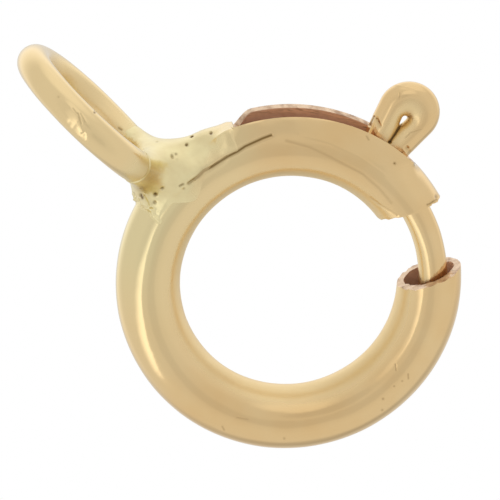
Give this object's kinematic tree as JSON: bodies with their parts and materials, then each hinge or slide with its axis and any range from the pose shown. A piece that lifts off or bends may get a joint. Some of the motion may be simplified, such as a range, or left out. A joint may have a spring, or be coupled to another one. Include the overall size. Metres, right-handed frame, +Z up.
{
  "type": "spring ring clasp",
  "caption": "Round jewellery clasp: a bent tube with a gap that a spring-loaded bolt closes, a thumb loop to slide the bolt back, and a soldered bail ring.",
  "frame": {"origin": "the middle of the clasp's ring", "axes": "+Z up from the surface that the clasp lies on, +X from the bail towards the far side of the ring, +Y towards the thumb loop"},
  "size_m": [0.0213, 0.0166, 0.0076],
  "materials": {
    "polished_gold": "polished yellow gold",
    "bolt_gold": "polished yellow gold, drawn wire",
    "spring_steel": "drawn spring wire"
  },
  "bodies": {
    "root": {"clasp_ring": "polished_gold", "spring": "spring_steel"},
    "bolt": {"bolt": "bolt_gold"}
  },
  "joints": [
    {"name": "bolt_slide", "type": "hinge", "parent": "root", "child": "bolt", "pos_m": [0, 0, 0], "axis": [0.1524, 0.0314, 0.9878], "range_deg": [0, 44], "stiffness_Nm_per_rad": 0.001, "springref_deg": -28.65, "deforming": ["spring"]}
  ]
}
